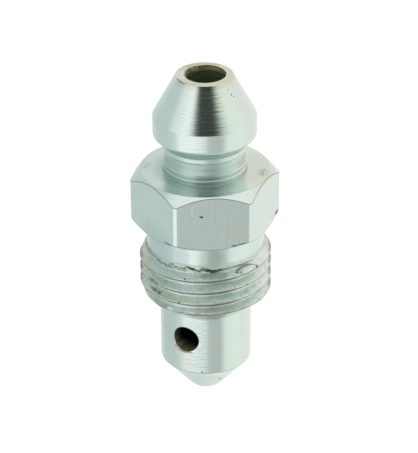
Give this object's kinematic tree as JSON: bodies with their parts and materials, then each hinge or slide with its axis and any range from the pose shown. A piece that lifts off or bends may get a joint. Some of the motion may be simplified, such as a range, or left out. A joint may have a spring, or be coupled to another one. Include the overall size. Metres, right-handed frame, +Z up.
{
  "type": "bleeder screw",
  "caption": "Turned hydraulic bleeder screw with a hose nipple, a hexagon, a fine thread, a plain shank with a cross hole and a conical seat.",
  "frame": {"origin": "on the floor under the middle of the screw's length", "axes": "+Z up, +Y along the screw's axis towards the open end of the nipple; one flat of the hexagon faces up"},
  "size_m": [0.011, 0.026, 0.0099],
  "materials": {
    "plated_steel": "bright zinc plating with a faint green-blue tint over turned steel"
  },
  "bodies": {
    "root": {"bleeder_screw": "plated_steel"}
  },
  "joints": []
}
